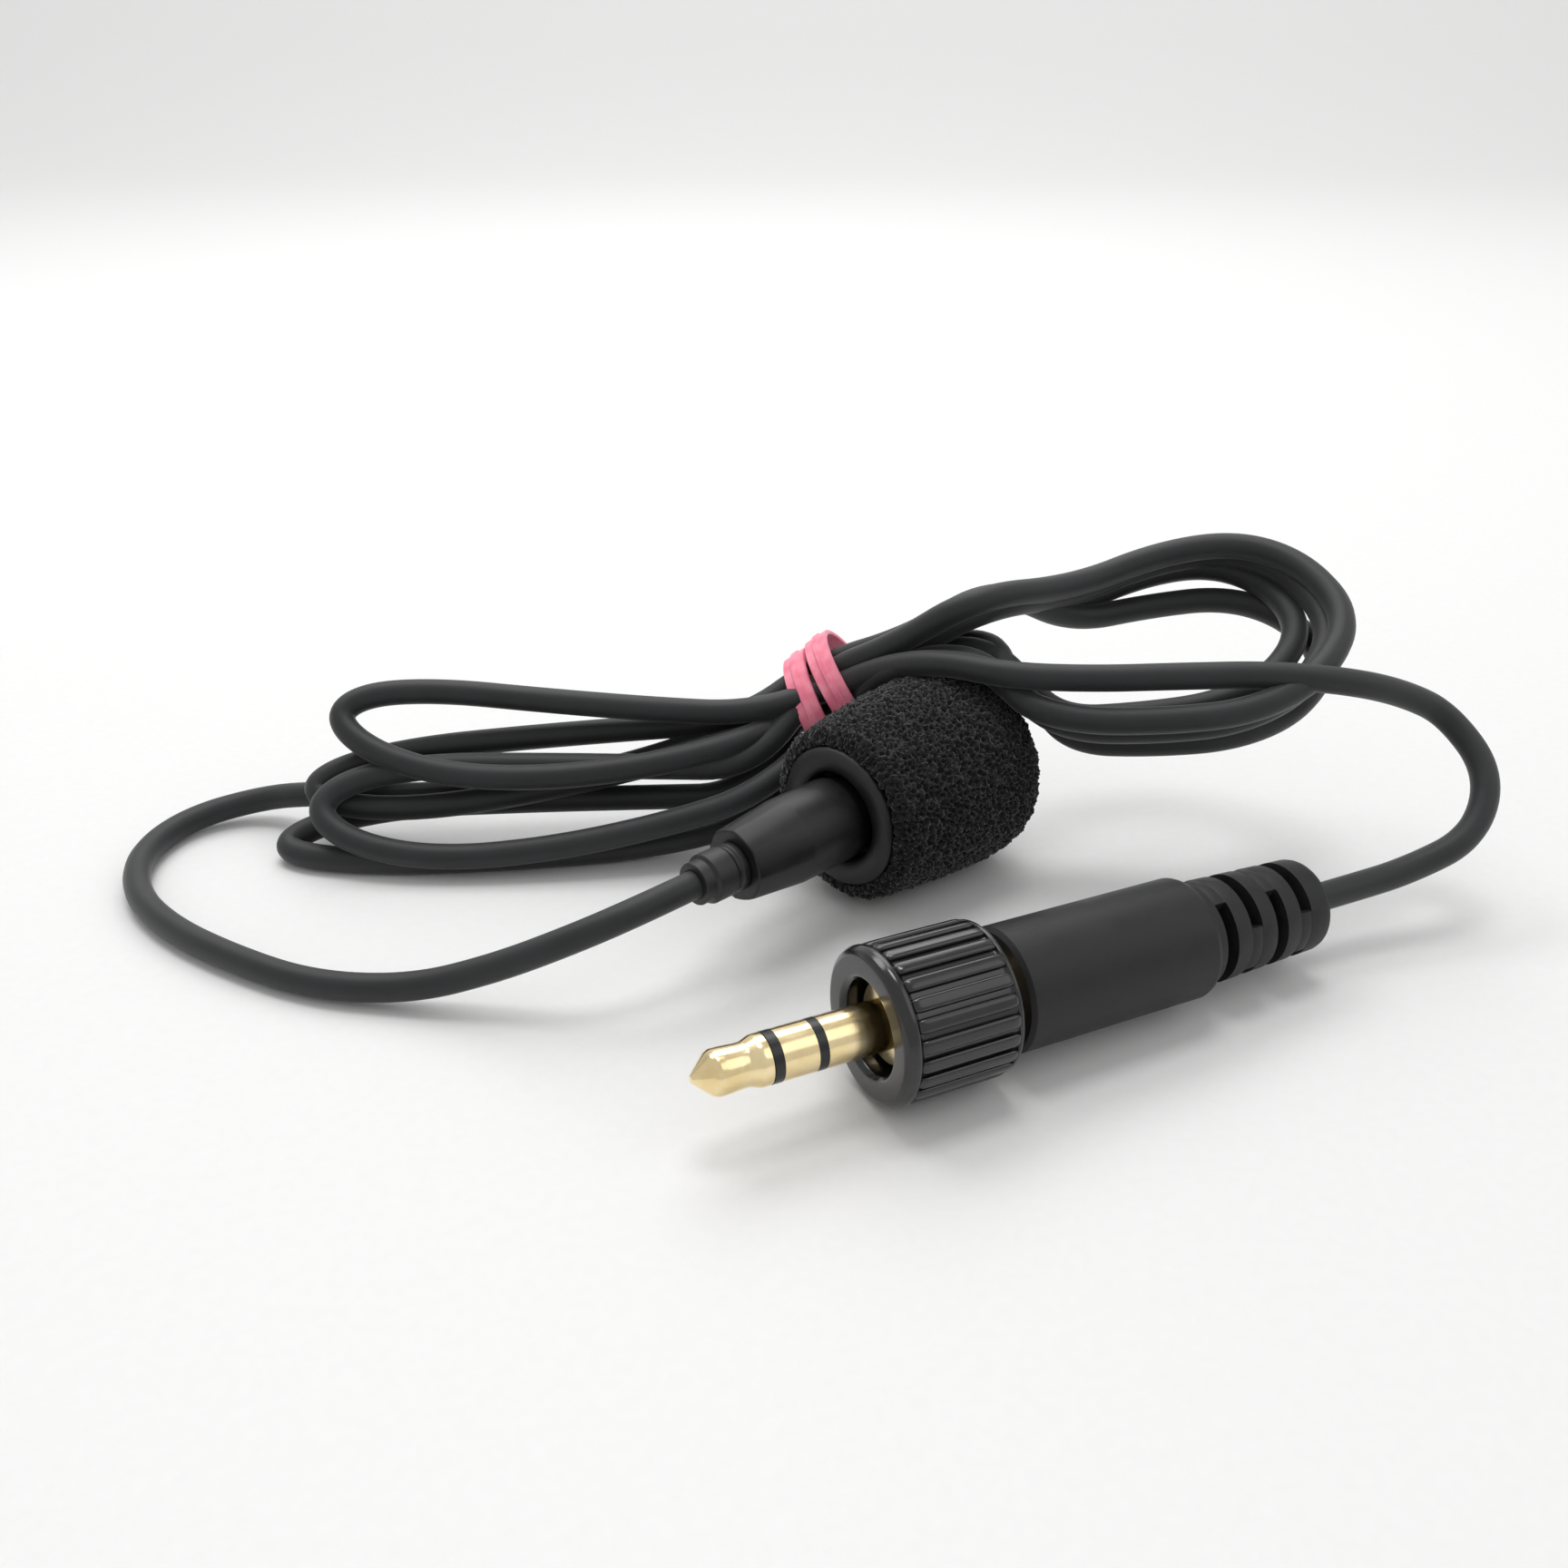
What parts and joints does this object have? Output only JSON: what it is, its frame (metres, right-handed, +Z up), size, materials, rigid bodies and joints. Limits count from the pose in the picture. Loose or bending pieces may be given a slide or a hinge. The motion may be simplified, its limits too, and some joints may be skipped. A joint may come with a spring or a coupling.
{
  "type": "lavalier microphone",
  "caption": "Small tie-clip style microphone head in a foam windscreen, on a thin coiled lead that ends in a 3.5 mm jack plug with a locking nut.",
  "frame": {"origin": "on the surface it lies on, under the middle of the mic head (foam windscreen, housing and strain relief, without the lead and plug)", "axes": "+X along the mic head from its strain relief to the front of the foam, +Z up"},
  "size_m": [0.0834, 0.0862, 0.0256],
  "materials": {
    "foam": "open-cell foam",
    "satin_black_metal": "satin black",
    "gloss_black_metal": "gloss black anodised",
    "matte_black_plastic": "fine matte texture",
    "smooth_black_plastic": "smooth satin",
    "boot_rubber": "matte moulded",
    "black_rubber": "satin moulded",
    "cable_jacket": "charcoal, soft sheen",
    "gold_contact": "polished gold plate",
    "black_insulator": "smooth",
    "pink_plastic": "soft flat strip",
    "steel_mesh": "woven",
    "can_aluminium": "drawn",
    "film": "metallised film",
    "white_plastic": "smooth",
    "board": "glass-fibre board",
    "tinned_metal": "tinned",
    "red_wire": "thin insulation",
    "bare_copper": "bare strand"
  },
  "bodies": {
    "mic_head": {"mic_body_shell": "satin_black_metal", "mic_strain_relief": "black_rubber", "mic_cable_tail": "cable_jacket", "mic_crimp_ferrule": "tinned_metal", "front_grille": "satin_black_metal", "acoustic_mesh": "steel_mesh", "capsule_gasket": "black_rubber", "capsule_can": "can_aluminium", "diaphragm_ring": "gold_contact", "diaphragm": "film", "spacer_washer": "white_plastic", "backplate": "gold_contact", "insulator_cup": "white_plastic", "capsule_board": "board", "amplifier_chip": "black_insulator", "solder_joints": "tinned_metal", "mic_signal_wire": "red_wire", "mic_ground_wire": "bare_copper", "plug_tip_contact": "gold_contact", "plug_tip_insulator": "black_insulator", "plug_ring_contact": "gold_contact", "plug_ring_insulator": "black_insulator", "plug_sleeve_contact": "gold_contact", "plug_tip_lug": "gold_contact", "plug_ring_lug": "gold_contact", "plug_body_shell": "matte_black_plastic", "plug_boot": "boot_rubber", "plug_crimp_ferrule": "tinned_metal", "plug_cable_tail": "cable_jacket", "plug_signal_wire": "red_wire", "plug_bias_wire": "white_plastic", "plug_shield_wire": "bare_copper", "cable_mic_side": "cable_jacket", "cable_plug_side": "cable_jacket", "cable_hank": "cable_jacket", "twist_tie": "pink_plastic"},
    "windscreen": {"windscreen_foam": "foam", "windscreen_mouth_ring": "smooth_black_plastic"},
    "nut_carrier": {"nut_retaining_clip": "tinned_metal"},
    "lock_nut": {"plug_locking_nut": "gloss_black_metal"}
  },
  "joints": [
    {"name": "windscreen_pull", "type": "slide", "parent": "mic_head", "child": "windscreen", "axis": [1, 0, 0], "range_m": [0, 0.012]},
    {"name": "nut_slide", "type": "slide", "parent": "mic_head", "child": "nut_carrier", "axis": [-0.9551, 0.2956, 0.0209], "range_m": [-0.0007, 0.0035]},
    {"name": "nut_spin", "type": "hinge", "parent": "nut_carrier", "child": "lock_nut", "pos_m": [-0.0183, -0.0188, 0.00572], "axis": [-0.9551, 0.2956, 0.0209], "continuous": true}
  ]
}
